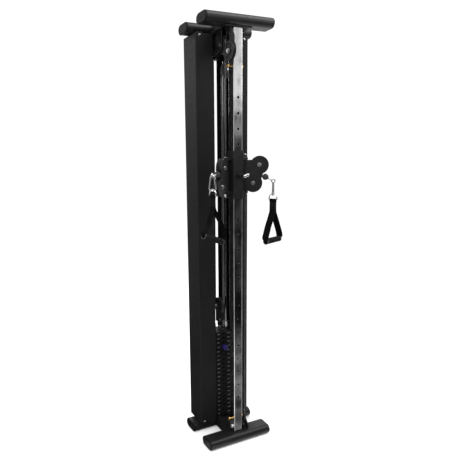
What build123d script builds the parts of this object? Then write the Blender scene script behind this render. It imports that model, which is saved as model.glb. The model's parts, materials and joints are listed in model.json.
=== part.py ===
"""Wall-side cable machine: one drilled column, a swivel-bracket carriage, a 2:1 cable and a weight stack.

Millimetres. +Z is up and the front faces -Y. The origin is on the floor on the column's centreline.
Each physical piece is written to its own STEP file in parts/.
"""
import os
from math import atan2, cos, degrees, pi, radians, sin, sqrt

from build123d import *

# ---------------------------------------------------------------- driving dimensions
TOTAL_HEIGHT = 2205.0
BAR_LENGTH = 380.0            # oval cross bars: two feet and two top bars
BAR_DEPTH = 100.0
BAR_HEIGHT = 50.0
WALL = 3.0
CAP_HEAD = 8.0
FRONT_BAR_Y = -7.0            # centre of the front foot and of the front top bar
REAR_BAR_Y = 190.0
SPINE_WIDTH = 80.0

COLUMN = 50.0
HOLE_PITCH = 75.0
HOLE_COUNT = 22
FIRST_HOLE_Z = 255.0
HOLE_R = 6.5
SPIGOT = 43.8
SPIGOT_HEIGHT = 52.0
FIXING_BOLT_Z = 76.0          # from the floor, and the same below the top
LOW_STOP_Z = 127.0
HIGH_STOP_Z = 1977.0
STOP_BOLT_R = 5.0

COVER_X = 152.5               # outer side face
COVER_FRONT_Y = 122.5
COVER_REAR_Y = 258.5
COVER_LOW_Z = 59.0
COVER_HIGH_Z = 2150.0
COVER_SHEET = 2.0
FRONT_FLANGE_X = 55.0         # inner edge of the front flange
REAR_FLANGE_X = 42.0
SCREW_X = 129.5
SCREW_LOW_Z = 66.0
SCREW_HIGH_Z = 2140.0
SCREW_R = 3.0

STACK_Y = 175.0
ROD_X = 45.0
ROD_R = 12.5
PLATE_WIDTH = 280.0
PLATE_DEPTH = 90.0
PLATE_PITCH = 25.4
PLATE_COUNT = 20              # the top one is the head plate
LIFTED_COUNT = 3              # selected plates under the head plate
STACK_LOW_Z = 72.0
SELECTOR_R = 10.0
SELECTOR_HOLE_R = 5.3

PULLEY_R = 45.0
PITCH_R = 41.0                # radius at the cable's centre
CABLE_R = 3.0
AXLE_R = 5.0
RUNNING_FIT = 0.03
CHEEK_IN = 10.0               # inner face of a cheek plate from the pulley's middle
CHEEK = 4.0

SWIVEL_X = 56.0               # vertical swivel axes at (+-56, 0)
BRACKET_ANGLE = 35.0          # brackets rest this far forward of the machine's width
BRACKET_MID_Z = 1453.0        # the left bracket is the right one turned over about this height
LOW_PULLEY = (PITCH_R, 1413.5)     # right bracket: distance out from the axis, height
HIGH_PULLEY = (72.4, 1503.4)
LOBE_R = 46.0
BALL = (102.0, 1443.2)
BALL_R = 16.0
LUG_LOW_Z = 1363.0
LUG_HIGH_Z = 1531.0
LUG = 12.0
SLEEVE = 60.0
SLEEVE_LOW_Z = 1338.0
SLEEVE_HIGH_Z = 1576.0
PIN_Z = 1455.0
PIN_R = 6.0
HOLLOW_R = 7.0                # outside of the hollow pivot that the cable passes through

FLOAT_Z = 723.0               # floating pulley axle
TURN_Z = 2080.0               # two turning pulleys over the left run and the rear fall
RETURN_Z = 1985.0             # pulley over the front fall
GUIDE_PULLEY = (-SWIVEL_X, -PITCH_R, 2035.0)
BASE_PULLEY_Z = 98.0

WIRE_R = 3.5                  # carabiner wire
RING_WIRE_R = 3.0
RING_HALF = 23.0
WEBBING = 38.0
GRIP_R = 15.0
GRIP_BORE = 11.0
GRIP_LENGTH = 126.0
HANDLE_DROP = 305.0           # top of the carabiner to the middle of the grip
SPLIT_SHARE = 0.70            # where the two legs of the strap part, as a share of the way up to the ring
HANDLES = {                   # reach and height of the eye, turn of the carabiner, azimuth and tilt of the grip
    "right": {"reach": 141.0, "eye_z": 1422.9, "turn": -14.0, "azimuth": 21.0, "tilt": 0.0},
    "left": {"reach": 153.0, "eye_z": 1462.9, "turn": 20.0, "azimuth": 10.0, "tilt": 20.0},
}

# ---------------------------------------------------------------- derived places
FALL_FRONT = Vector(0, STACK_Y - PITCH_R, 0)
FALL_REAR = Vector(0, STACK_Y + PITCH_R, 0)
LEFT_AXIS = Vector(-SWIVEL_X, 0, 0)
RIGHT_AXIS = Vector(SWIVEL_X, 0, 0)
UP = Vector(0, 0, 1)


def return_point():
    """Plan position one pulley away from both the front fall and the right swivel axis."""
    gap = RIGHT_AXIS - FALL_FRONT
    middle = (RIGHT_AXIS + FALL_FRONT) * 0.5
    side = Vector(-gap.Y, gap.X, 0).normalized()
    return middle + side * sqrt((2 * PITCH_R) ** 2 - (gap.length / 2) ** 2)


RETURN_RUN = return_point()
PARTS = {}


def keep(name, shape):
    """Remember a finished piece, or a group of separate pieces, under its node name."""
    PARTS[name] = shape


def group(solids):
    """Several separate pieces that share a node."""
    return Compound(children=list(solids))


def at(point, z):
    return Vector(point.X, point.Y, z)


def turned(azimuth, origin):
    """A plane at origin whose local x points along the azimuth and whose local z stays up."""
    return Location(origin, (0, 0, azimuth))


def box(x0, x1, y0, y1, z0, z1):
    return Pos((x0 + x1) / 2, (y0 + y1) / 2, (z0 + z1) / 2) * Box(x1 - x0, y1 - y0, z1 - z0)


def rod(start, end, radius):
    """A round bar between two points."""
    start, end = Vector(*start), Vector(*end)
    axis = end - start
    plane = Plane(origin=start, z_dir=axis.normalized())
    return plane.location * Cylinder(radius, axis.length, align=(Align.CENTER, Align.CENTER, Align.MIN))


def hex_bolt(start, end, radius):
    """A bolt whose shank fills start to end, with a hexagonal head and nut outside them."""
    start, end = Vector(*start), Vector(*end)
    axis = (end - start).normalized()
    head_height, nut_height = radius * 1.2, radius * 1.5
    hexagon = RegularPolygon(radius * 1.75, 6)
    shape = rod(start - axis * head_height, end + axis * nut_height, radius)
    shape += Plane(origin=start - axis * head_height, z_dir=axis).location * extrude(hexagon, head_height)
    return shape + Plane(origin=end, z_dir=axis).location * extrude(hexagon, nut_height)


# ---------------------------------------------------------------- frame
def oval_section(depth, height):
    return Plane.YZ * SlotOverall(depth, height)


def oval_bar(y, z0, solid=False):
    """One cross bar without its end caps, open at both ends."""
    length = BAR_LENGTH - 2 * CAP_HEAD
    shape = extrude(oval_section(BAR_DEPTH, BAR_HEIGHT), length / 2, both=True)
    if not solid:
        shape -= extrude(oval_section(BAR_DEPTH - 2 * WALL, BAR_HEIGHT - 2 * WALL), length, both=True)
    return Pos(0, y, z0 + BAR_HEIGHT / 2) * shape


def end_cap(side, y, z0):
    """A moulded plug: a rounded head outside the bar and a shank inside it."""
    head = extrude(oval_section(BAR_DEPTH, BAR_HEIGHT), CAP_HEAD)
    head = fillet(head.faces().sort_by(Axis.X)[-1].edges(), 5)
    shank = Pos(-16, 0, 0) * extrude(oval_section(BAR_DEPTH - 2 * WALL - 0.2, BAR_HEIGHT - 2 * WALL - 0.2), 16)
    cap = Pos(BAR_LENGTH / 2 - CAP_HEAD, 0, 0) * (head + shank)
    if side < 0:
        cap = cap.rotate(Axis.Z, 180)
    return Pos(0, y, z0 + BAR_HEIGHT / 2) * cap


def cross_frame(z0, spigot_z):
    """Two oval bars, the spine welded between them and the spigot that the column slides over."""
    front, rear = oval_bar(FRONT_BAR_Y, z0), oval_bar(REAR_BAR_Y, z0)
    spine = box(-SPINE_WIDTH / 2, SPINE_WIDTH / 2, FRONT_BAR_Y, REAR_BAR_Y, z0, z0 + BAR_HEIGHT)
    inner = SPINE_WIDTH / 2 - WALL
    spine -= box(-inner, inner, FRONT_BAR_Y - 5, REAR_BAR_Y + 5, z0 + WALL, z0 + BAR_HEIGHT - WALL)
    spine -= oval_bar(FRONT_BAR_Y, z0, solid=True)
    spine -= oval_bar(REAR_BAR_Y, z0, solid=True)
    core = SPIGOT - 2 * WALL
    spigot = extrude(RectangleRounded(SPIGOT, SPIGOT, 2) - Rectangle(core, core), SPIGOT_HEIGHT)
    spigot = Pos(0, 0, spigot_z) * spigot
    bolt_z = FIXING_BOLT_Z if z0 == 0 else TOTAL_HEIGHT - FIXING_BOLT_Z
    spigot -= rod((-SPIGOT, 0, bolt_z), (SPIGOT, 0, bolt_z), 6.1)
    return front + rear + spine + spigot


def column():
    """The chromed square tube with its row of pin holes in the front wall."""
    low, high = BAR_HEIGHT, TOTAL_HEIGHT - BAR_HEIGHT
    outer = extrude(RectangleRounded(COLUMN, COLUMN, 4), high - low)
    inner = extrude(RectangleRounded(COLUMN - 2 * WALL, COLUMN - 2 * WALL, 1), high - low)
    tube = Pos(0, 0, low) * (outer - inner)
    drills = [rod((0, -COLUMN, z), (0, 0, z), HOLE_R) for z in hole_heights()]
    for z, radius in cross_bolts():
        drills.append(rod((-COLUMN, 0, z), (COLUMN, 0, z), radius + 0.1))
    return tube - drills


def hole_heights():
    return [FIRST_HOLE_Z + HOLE_PITCH * i for i in range(HOLE_COUNT)]


def cross_bolts():
    """Heights and shank radii of the bolts that cross the column from side to side."""
    fixing = [(FIXING_BOLT_Z, 6.0), (TOTAL_HEIGHT - FIXING_BOLT_Z, 6.0)]
    stops = [(LOW_STOP_Z, STOP_BOLT_R), (HIGH_STOP_Z, STOP_BOLT_R)]
    return fixing + stops


def stop_bolts():
    """Long bolts whose ends stand out of the column and catch the carriage."""
    half = COLUMN / 2
    return group(hex_bolt((-half - 16, 0, z), (half + 6, 0, z), STOP_BOLT_R) for z in (LOW_STOP_Z, HIGH_STOP_Z))


def build_frame():
    keep("base_frame", cross_frame(0, BAR_HEIGHT))
    top_z = TOTAL_HEIGHT - BAR_HEIGHT
    keep("top_frame", cross_frame(top_z, top_z - SPIGOT_HEIGHT))
    places = [(s, y, z) for z in (0, top_z) for y in (FRONT_BAR_Y, REAR_BAR_Y) for s in (-1, 1)]
    keep("bar_end_caps", group(end_cap(*p) for p in places))
    keep("column", column())
    keep("stop_bolts", stop_bolts())


# ---------------------------------------------------------------- covers
def cover(side):
    """One folded sheet cover, open towards the stack."""
    x0, x1 = REAR_FLANGE_X, COVER_X
    shell = box(x0, x1, COVER_FRONT_Y, COVER_REAR_Y, COVER_LOW_Z, COVER_HIGH_Z)
    corners = shell.edges().filter_by(Axis.Z).group_by(Axis.X)[-1]
    shell = fillet(corners, 4)
    t = COVER_SHEET
    hollow = box(x0 - 1, x1 - t, COVER_FRONT_Y + t, COVER_REAR_Y - t, COVER_LOW_Z - 1, COVER_HIGH_Z + 1)
    corners = hollow.edges().filter_by(Axis.Z).group_by(Axis.X)[-1]
    shell -= fillet(corners, 2)
    shell -= box(0, FRONT_FLANGE_X, COVER_FRONT_Y - 5, COVER_FRONT_Y + 5, 0, TOTAL_HEIGHT)
    for z in (SCREW_LOW_Z, SCREW_HIGH_Z):
        shell -= rod((SCREW_X, 0, z), (SCREW_X, COVER_REAR_Y + 50, z), SCREW_R + 0.3)
    return shell if side > 0 else mirror(shell, Plane.YZ)


def cover_bracket(side, z_base, rise):
    """A bent strap on a rear bar; the cover is screwed to its two legs."""
    half, gauge, leg = 15.0, 3.0, 35.0
    y0, y1 = COVER_FRONT_Y + COVER_SHEET, COVER_REAR_Y - COVER_SHEET
    x0, x1 = SCREW_X - half, SCREW_X + half
    low, high = sorted((z_base, z_base + rise * leg))
    base_low, base_high = sorted((z_base, z_base + rise * gauge))
    strap = box(x0, x1, y0, y1, base_low, base_high)
    strap += box(x0, x1, y0, y0 + gauge, low, high) + box(x0, x1, y1 - gauge, y1, low, high)
    z = SCREW_LOW_Z if rise > 0 else SCREW_HIGH_Z
    strap -= rod((SCREW_X, 0, z), (SCREW_X, COVER_REAR_Y + 50, z), SCREW_R + 0.02)
    return strap if side > 0 else mirror(strap, Plane.YZ)


def cover_screw(x, z, face_y, outward):
    """A button-head screw through a cover flange."""
    head = rod((x, face_y, z), (x, face_y + outward * 3.5, z), 6.0)
    head = fillet(head.edges().sort_by(Axis.Y)[0 if outward < 0 else -1], 2.5)
    return head + rod((x, face_y, z), (x, face_y - outward * 10, z), SCREW_R)


def build_covers():
    keep("left_cover", cover(-1))
    keep("right_cover", cover(1))
    top_z = TOTAL_HEIGHT - BAR_HEIGHT
    ends = [(BAR_HEIGHT, 1), (top_z, -1)]
    keep("cover_brackets", group(cover_bracket(s, z, rise) for z, rise in ends for s in (-1, 1)))
    faces = [(COVER_FRONT_Y, -1), (COVER_REAR_Y, 1)]
    heights = (SCREW_LOW_Z, SCREW_HIGH_Z)
    screws = [cover_screw(s * SCREW_X, z, y, out) for s in (-1, 1) for z in heights for y, out in faces]
    keep("cover_screws", group(screws))


# ---------------------------------------------------------------- pulleys
def pulley():
    """A grooved pulley on the origin with its axle along local X."""
    hub, web, rim = 9.5, 4.0, 8.0
    root = PITCH_R - CABLE_R - 0.3
    profile = Polyline(
        (0, 12, hub), (0, 13, web), (0, 32, web), (0, 34, rim), (0, PULLEY_R, rim),
        (0, PULLEY_R, 6), (0, PITCH_R, 3.5), (0, PITCH_R - 2, 3.0), (0, root, 1.6),
        (0, root, -1.6), (0, PITCH_R - 2, -3.0), (0, PITCH_R, -3.5), (0, PULLEY_R, -6),
        (0, PULLEY_R, -rim), (0, 34, -rim), (0, 32, -web), (0, 13, -web), (0, 12, -hub),
        (0, AXLE_R + RUNNING_FIT, -hub), (0, AXLE_R + RUNNING_FIT, hub), (0, 12, hub))
    wheel = revolve(make_face(profile), Axis.Z)
    return wheel.rotate(Axis.Y, 90)


def place_pulley(centre, along):
    """Put a pulley in the vertical plane that holds the plan direction `along`."""
    return turned(degrees(atan2(along.Y, along.X)) - 90, centre) * pulley()


def sideways(along):
    """Unit vector across a vertical pulley plane."""
    return along.normalized().cross(UP)


def axle(centre, along, out_head, out_nut, radius=AXLE_R):
    """A bolt through a pulley: head on the minus side, nut on the plus side."""
    side = sideways(along)
    return hex_bolt(tuple(centre - side * out_head), tuple(centre + side * out_nut), radius)


def cheek(origin, along, offset, outline):
    """A flat plate in a vertical plane; outline is in (distance along, height)."""
    side = sideways(along)
    plane = Plane(origin=at(origin, 0) + side * (offset - CHEEK / 2), x_dir=along.normalized(), z_dir=side)
    return plane.location * extrude(make_face(Polyline(*outline, close=True)), CHEEK)


LEFT_TO_REAR = FALL_REAR - LEFT_AXIS
FRONT_TO_RETURN = RETURN_RUN - FALL_FRONT
RETURN_TO_RIGHT = RETURN_RUN - RIGHT_AXIS
FORE_AFT = Vector(0, 1, 0)
TURN_CENTRE = at(LEFT_AXIS + LEFT_TO_REAR.normalized() * PITCH_R, TURN_Z)
REAR_CENTRE = at(FALL_REAR - LEFT_TO_REAR.normalized() * PITCH_R, TURN_Z)
RETURN_CENTRE = at((FALL_FRONT + RETURN_RUN) * 0.5, RETURN_Z)
BASE_CENTRE = at((RIGHT_AXIS + RETURN_RUN) * 0.5, BASE_PULLEY_Z)
GUIDE_CENTRE = Vector(*GUIDE_PULLEY)
CHEEK_MID = CHEEK_IN + CHEEK / 2
PLATE_Z = TOTAL_HEIGHT - BAR_HEIGHT - 6
GUARD_LOW_Z = 2050.0          # lower edge of the plate behind the top pulleys


def hanger(origin, along, near, far, low):
    """A pair of cheeks that hang from the top plate either side of a pulley plane."""
    outline = [(near, PLATE_Z + 1), (near, low + 12), (near + 12, low), (far - 12, low), (far, low + 12),
               (far, PLATE_Z + 1)]
    return cheek(origin, along, -CHEEK_MID, outline) + cheek(origin, along, CHEEK_MID, outline)


def top_pulley_bracket():
    """The plate under the top bars, its pulley cheeks, the guide pulley's tongue and the rear guard."""
    top_z = TOTAL_HEIGHT - BAR_HEIGHT
    plate = box(-74, 74, -32, 110, PLATE_Z, top_z) + box(-53, 53, 109, 242, PLATE_Z, top_z)
    hole = COLUMN / 2 + 1
    span = LEFT_TO_REAR.length
    shape = plate + hanger(LEFT_AXIS, LEFT_TO_REAR, PITCH_R - 22, span - PITCH_R + 22, TURN_Z - 24)
    shape += hanger(FALL_FRONT, FRONT_TO_RETURN, PITCH_R - 20, PITCH_R + 20, RETURN_Z - 22)
    tongue_x = -SWIVEL_X + CHEEK_MID
    tongue = [(-62, PLATE_Z - 45), (-62, 2024), (-52, 2014), (-30, 2014), (-20, 2024), (-20, PLATE_Z + 1),
              (-32, PLATE_Z + 1)]
    shape += cheek(Vector(tongue_x, 0, 0), FORE_AFT, 0, tongue)
    shape += box(-60, 60, 238, 242, GUARD_LOW_Z, COVER_HIGH_Z - 2) + box(-53, 53, 238, 242, GUARD_LOW_Z, PLATE_Z + 1)
    shape -= box(-hole, hole, -hole, hole, PLATE_Z - 200, top_z + 1)
    for x in (-ROD_X, ROD_X):
        shape -= rod((x, STACK_Y, 1900), (x, STACK_Y, TOTAL_HEIGHT), ROD_R + 1)
    drills = [(TURN_CENTRE, LEFT_TO_REAR), (REAR_CENTRE, LEFT_TO_REAR), (RETURN_CENTRE, FRONT_TO_RETURN),
              (GUIDE_CENTRE, FORE_AFT)]
    for centre, along in drills:
        side = sideways(along) * 16
        shape -= rod(tuple(centre - side), tuple(centre + side), AXLE_R + 0.05)
    return shape


def base_pulley_bracket():
    """Two cheeks on a foot plate that carry the lowest pulley."""
    outline = [(-20, 50), (18, 50), (62, 82), (62, 106), (52, 116), (28, 116), (-20, 72)]
    low = cheek(RIGHT_AXIS, RETURN_TO_RIGHT, -CHEEK_MID, outline)
    shape = low + cheek(RIGHT_AXIS, RETURN_TO_RIGHT, CHEEK_MID, outline)
    shape += box(SWIVEL_X - 15, SWIVEL_X + 15, -20, 17, BAR_HEIGHT, BAR_HEIGHT + 4)
    side = sideways(RETURN_TO_RIGHT) * 16
    return shape - rod(tuple(BASE_CENTRE - side), tuple(BASE_CENTRE + side), AXLE_R + 0.05)


def frame_bolts():
    """Pulley axles fixed to the frame and the two bolts that lock the column on its spigots."""
    out = CHEEK_IN + CHEEK
    bolts = [axle(TURN_CENTRE, LEFT_TO_REAR, out, out), axle(REAR_CENTRE, LEFT_TO_REAR, out, out),
             axle(RETURN_CENTRE, FRONT_TO_RETURN, out, out), axle(BASE_CENTRE, RETURN_TO_RIGHT, out, out),
             axle(GUIDE_CENTRE, FORE_AFT, CHEEK_IN, out)]
    half = COLUMN / 2
    for z in (FIXING_BOLT_Z, TOTAL_HEIGHT - FIXING_BOLT_Z):
        bolts.append(hex_bolt((-half, 0, z), (half, 0, z), 6.0))
    return group(bolts)


def build_fixed_pulleys():
    keep("top_pulley_bracket", top_pulley_bracket())
    keep("base_pulley_bracket", base_pulley_bracket())
    keep("frame_bolts", frame_bolts())
    keep("guide_pulley", place_pulley(GUIDE_CENTRE, FORE_AFT))
    keep("turning_pulley", place_pulley(TURN_CENTRE, LEFT_TO_REAR))
    keep("rear_pulley", place_pulley(REAR_CENTRE, LEFT_TO_REAR))
    keep("return_pulley", place_pulley(RETURN_CENTRE, FRONT_TO_RETURN))
    keep("base_pulley", place_pulley(BASE_CENTRE, RETURN_TO_RIGHT))


# ---------------------------------------------------------------- weight stack
def plate_z(index):
    return STACK_LOW_Z + PLATE_PITCH * index


def weight_plate(index, rod_hole=ROD_R + 0.5, core_hole=SELECTOR_R + 2):
    """One stack plate with two rod holes, a core hole and a pin hole in its front edge."""
    z = plate_z(index)
    plate = Pos(0, STACK_Y, z + PLATE_PITCH / 2) * Box(PLATE_WIDTH, PLATE_DEPTH, PLATE_PITCH)
    plate = chamfer(plate.edges().filter_by(Axis.Z), 8)
    plate = chamfer(plate.edges().group_by(Axis.Z)[0] + plate.edges().group_by(Axis.Z)[-1], 1.5)
    for x in (-ROD_X, ROD_X):
        plate -= rod((x, STACK_Y, z - 1), (x, STACK_Y, z + PLATE_PITCH + 1), rod_hole)
    plate -= rod((0, STACK_Y, z - 1), (0, STACK_Y, z + PLATE_PITCH + 1), core_hole)
    middle = z + PLATE_PITCH / 2
    plate -= rod((0, STACK_Y - PLATE_DEPTH, middle), (0, STACK_Y, middle), SELECTOR_HOLE_R)
    return plate


def selector_rod():
    """The drilled core rod that hangs from the head plate."""
    shaft = rod((0, STACK_Y, plate_z(0) + 6), (0, STACK_Y, 604), SELECTOR_R)
    for index in range(PLATE_COUNT - 1):
        z = plate_z(index) + PLATE_PITCH / 2
        shaft -= rod((0, STACK_Y - 20, z), (0, STACK_Y + 20, z), SELECTOR_HOLE_R)
    return shaft


def pulley_yoke():
    """The plated clevis that hangs the stack from the floating pulley."""
    width, base_z = 18.0, 628.0
    shape = box(-CHEEK_IN - CHEEK, CHEEK_IN + CHEEK, STACK_Y - width, STACK_Y + width, base_z, base_z + 12)
    for x in (-CHEEK_MID, CHEEK_MID):
        leg = box(x - CHEEK / 2, x + CHEEK / 2, STACK_Y - width, STACK_Y + width, base_z, FLOAT_Z)
        shape += leg + rod((x - CHEEK / 2, STACK_Y, FLOAT_Z), (x + CHEEK / 2, STACK_Y, FLOAT_Z), width)
    shape -= rod((-30, STACK_Y, FLOAT_Z), (30, STACK_Y, FLOAT_Z), AXLE_R + 0.05)
    shape += rod((0, STACK_Y, 604), (0, STACK_Y, base_z + 1), 8)
    return shape + Pos(0, STACK_Y, 608) * extrude(RegularPolygon(14, 6), 12)


def selector_pin():
    """The loose pin with its round knob that picks the plates to lift."""
    z = plate_z(PLATE_COUNT - 1 - LIFTED_COUNT) + PLATE_PITCH / 2
    front = STACK_Y - PLATE_DEPTH / 2
    pin = rod((0, front - 2, z), (0, STACK_Y + 10, z), SELECTOR_HOLE_R - 0.3)
    knob = rod((0, front - 2, z), (0, front - 30, z), 15)
    return pin + fillet(knob.edges().filter_by(GeomType.CIRCLE), 5)


def build_stack():
    rods = [rod((x, STACK_Y, BAR_HEIGHT), (x, STACK_Y, TOTAL_HEIGHT - BAR_HEIGHT), ROD_R) for x in (-ROD_X, ROD_X)]
    keep("guide_rods", group(rods))
    keep("stack_bumpers", group(ring(x, BAR_HEIGHT, STACK_LOW_Z, 24, ROD_R + 0.1) for x in (-ROD_X, ROD_X)))
    resting = PLATE_COUNT - 1 - LIFTED_COUNT
    keep("resting_plates", group(weight_plate(i) for i in range(resting)))
    keep("lifted_plates", group(weight_plate(i) for i in range(resting, PLATE_COUNT - 1)))
    keep("head_plate", weight_plate(PLATE_COUNT - 1, core_hole=SELECTOR_R + 0.02))
    top = plate_z(PLATE_COUNT)
    keep("head_bushes", group(ring(x, top, top + 44, 19, ROD_R + 0.3) for x in (-ROD_X, ROD_X)))
    keep("selector_rod", selector_rod())
    centre = Vector(0, STACK_Y, FLOAT_Z)
    out = CHEEK_IN + CHEEK
    keep("pulley_yoke", group([pulley_yoke(), axle(centre, FORE_AFT, out, out)]))
    keep("floating_pulley", place_pulley(centre, FORE_AFT))
    keep("selector_pin", selector_pin())


def ring(x, z0, z1, outer, inner):
    """A tube round one guide rod."""
    return rod((x, STACK_Y, z0), (x, STACK_Y, z1), outer) - rod((x, STACK_Y, z0 - 1), (x, STACK_Y, z1 + 1), inner)


# ---------------------------------------------------------------- carriage
def carriage_sleeve():
    """The square sleeve with four swivel lugs and the pull pin's barrel hole."""
    height = SLEEVE_HIGH_Z - SLEEVE_LOW_Z
    tube = extrude(RectangleRounded(SLEEVE, SLEEVE, 5), height)
    tube -= extrude(RectangleRounded(SLEEVE - 4.8, SLEEVE - 4.8, 2.6), height)
    shape = Pos(0, 0, SLEEVE_LOW_Z) * tube
    for side in (-1, 1):
        for z in (LUG_LOW_Z, LUG_HIGH_Z):
            tip = rod((side * SWIVEL_X, 0, z), (side * SWIVEL_X, 0, z + LUG), 15)
            x0, x1 = sorted((side * (SLEEVE / 2 - 1), side * SWIVEL_X))
            shape += tip + box(x0, x1, -15, 15, z, z + LUG)
    for side in (-1, 1):
        solid_z, hollow_z = pivot_heights(side)
        shape -= rod((side * SWIVEL_X, 0, solid_z - 1), (side * SWIVEL_X, 0, solid_z + LUG + 1), PIN_R + 0.02)
        shape -= rod((side * SWIVEL_X, 0, hollow_z - 1), (side * SWIVEL_X, 0, hollow_z + LUG + 1), HOLLOW_R + 0.02)
    return shape - rod((0, -SLEEVE, PIN_Z), (0, 0, PIN_Z), PIN_R + 0.1)


def pivot_heights(side):
    """Lug heights of the solid pivot and of the hollow one that the cable comes through."""
    return (LUG_HIGH_Z, LUG_LOW_Z) if side > 0 else (LUG_LOW_Z, LUG_HIGH_Z)


def carriage_liners():
    """Two plastic liners between the sleeve and the column."""
    outer, inner, length = SLEEVE - 4.9, COLUMN + 0.6, 45.0
    liner = extrude(RectangleRounded(outer, outer, 2.5), length)
    liner -= extrude(RectangleRounded(inner, inner, 4.2), length)
    return group(Pos(0, 0, z) * liner for z in (SLEEVE_LOW_Z, SLEEVE_HIGH_Z - length))


def hinge_pivots():
    """A solid bolt and a hollow flanged bush for each bracket."""
    pivots = []
    for side in (-1, 1):
        solid_z, hollow_z = pivot_heights(side)
        outward = 1 if solid_z == LUG_HIGH_Z else -1
        x = side * SWIVEL_X
        face = solid_z + LUG if outward > 0 else solid_z
        bolt = rod((x, 0, face), (x, 0, face - outward * (LUG + 14)), PIN_R)
        nut = Plane(origin=(x, 0, face), z_dir=(0, 0, outward)).location * extrude(RegularPolygon(10, 6), 12)
        dome = rod((x, 0, face), (x, 0, face + outward * 18), PIN_R)
        pivots.append(bolt + nut + fillet(dome.edges().sort_by(Axis.Z)[-1 if outward > 0 else 0], 3))
        face = hollow_z + LUG if outward < 0 else hollow_z
        bush = rod((x, 0, face), (x, 0, face + outward * (LUG + 6)), HOLLOW_R)
        bush += rod((x, 0, face), (x, 0, face - outward * 3), 11)
        pivots.append(bush - rod((x, 0, face - 30), (x, 0, face + 30), CABLE_R + 1))
    return group(pivots)


def pin_barrel():
    """The threaded barrel that guides the pull pin."""
    face = -SLEEVE / 2
    barrel = rod((0, face, PIN_Z), (0, face - 26, PIN_Z), 11)
    barrel += Plane(origin=(0, face, PIN_Z), z_dir=(0, -1, 0)).location * extrude(RegularPolygon(14, 6), 8)
    return barrel - rod((0, face + 5, PIN_Z), (0, face - 40, PIN_Z), PIN_R + 0.06)


def pull_pin():
    """The spring pin, drawn out of its hole, with its T-shaped grip."""
    tip = -COLUMN / 2 - 1
    back = -SLEEVE / 2 - 40
    pin = rod((0, tip, PIN_Z), (0, back, PIN_Z), PIN_R)
    neck = rod((0, back, PIN_Z), (0, back - 22, PIN_Z), 6.5)
    tee = rod((-15, back - 26, PIN_Z - 5), (15, back - 26, PIN_Z + 5), 8)
    return pin + neck + fillet(tee.edges().filter_by(GeomType.CIRCLE), 4)


def build_carriage():
    keep("carriage_sleeve", carriage_sleeve())
    keep("carriage_liners", carriage_liners())
    keep("hinge_pivots", hinge_pivots())
    keep("pin_barrel", pin_barrel())
    keep("pull_pin", pull_pin())


# ---------------------------------------------------------------- swivel brackets
def bracket_plate(offset):
    """One side plate of the right bracket: two lobes round the pulleys and a straight hinge side."""
    pivot_low, pivot_high = LUG_LOW_Z + LUG + 1, LUG_HIGH_Z - 1
    face = Pos(*LOW_PULLEY) * Circle(LOBE_R)
    face += Pos(*HIGH_PULLEY) * Circle(LOBE_R)
    face += make_face(Polyline((-13, pivot_low), (30, pivot_low), LOW_PULLEY, HIGH_PULLEY, (72, pivot_high),
                               (-13, pivot_high), close=True))
    face += make_face(Polyline(LOW_PULLEY, (86, 1440), (90, 1462), HIGH_PULLEY, close=True))
    face -= Pos(*BALL) * Circle(BALL_R + 1.2)
    plate = Plane(origin=(0, -offset + CHEEK / 2, 0), x_dir=(1, 0, 0), z_dir=(0, -1, 0)).location
    return plate * extrude(face, CHEEK)


def right_bracket():
    """Two plates joined by the pivot blocks, in a local frame with X outward from the swivel axis."""
    shape = bracket_plate(CHEEK_MID) + bracket_plate(-CHEEK_MID)
    low = LUG_LOW_Z + LUG + 1
    high = LUG_HIGH_Z - 1
    shape += box(-13, 13, -CHEEK_IN - 1, CHEEK_IN + 1, low, low + 12)
    shape += box(-13, 13, -CHEEK_IN - 1, CHEEK_IN + 1, high - 12, high)
    shape -= rod((LOW_PULLEY[0], -9.8, LOW_PULLEY[1]), (LOW_PULLEY[0], 9.8, LOW_PULLEY[1]), PULLEY_R + 1.5)
    for s, z in (LOW_PULLEY, HIGH_PULLEY):
        shape -= rod((s, -30, z), (s, 30, z), AXLE_R + 0.1)
    shape -= rod((0, 0, high - 20), (0, 0, high + 5), PIN_R + 0.06)
    return shape - rod((0, 0, low - 5), (0, 0, low + 20), HOLLOW_R + 0.06)


def bracket_bolts():
    out = CHEEK_IN + CHEEK
    return group(hex_bolt((s, -out, z), (s, out, z), AXLE_R) for s, z in (LOW_PULLEY, HIGH_PULLEY))


def cable_leave_angle():
    """Angle on the lower pulley at which the cable leaves it towards the ball."""
    ds, dz = BALL[0] - LOW_PULLEY[0], BALL[1] - LOW_PULLEY[1]
    return atan2(dz, ds) + acos_of(PITCH_R / sqrt(ds * ds + dz * dz))


def acos_of(value):
    return atan2(sqrt(1 - value * value), value)


def handle_cable():
    """The run from the hollow pivot, over the inner pulley, to the ball stop."""
    s, z = LOW_PULLEY
    leave = cable_leave_angle()
    halfway = (pi + leave) / 2
    start = (0, 0, LUG_LOW_Z - 4)
    tangent = (0, 0, z)
    over = (s + PITCH_R * cos(halfway), 0, z + PITCH_R * sin(halfway))
    off = (s + PITCH_R * cos(leave), 0, z + PITCH_R * sin(leave))
    ball = Vector(BALL[0], 0, BALL[1])
    end = ball - (ball - Vector(*off)).normalized() * (BALL_R + 0.2)
    path = Line(start, tangent) + ThreePointArc(tangent, over, off) + Line(off, end)
    return sweep(Plane(origin=start, z_dir=(0, 0, 1)) * Circle(CABLE_R), path=path)


def to_right(shape):
    """From the bracket's local frame to its place on the right of the column."""
    return Location((SWIVEL_X, 0, 0), (0, 0, -BRACKET_ANGLE)) * shape


def to_left(shape):
    """The left bracket is the right one turned half round about a fore-and-aft axis."""
    return to_right(shape).rotate(Axis((0, 0, BRACKET_MID_Z), (0, 1, 0)), 180)


def bracket_pulley(place):
    return Pos(place[0], 0, place[1]) * pulley().rotate(Axis.Z, 90)


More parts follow.
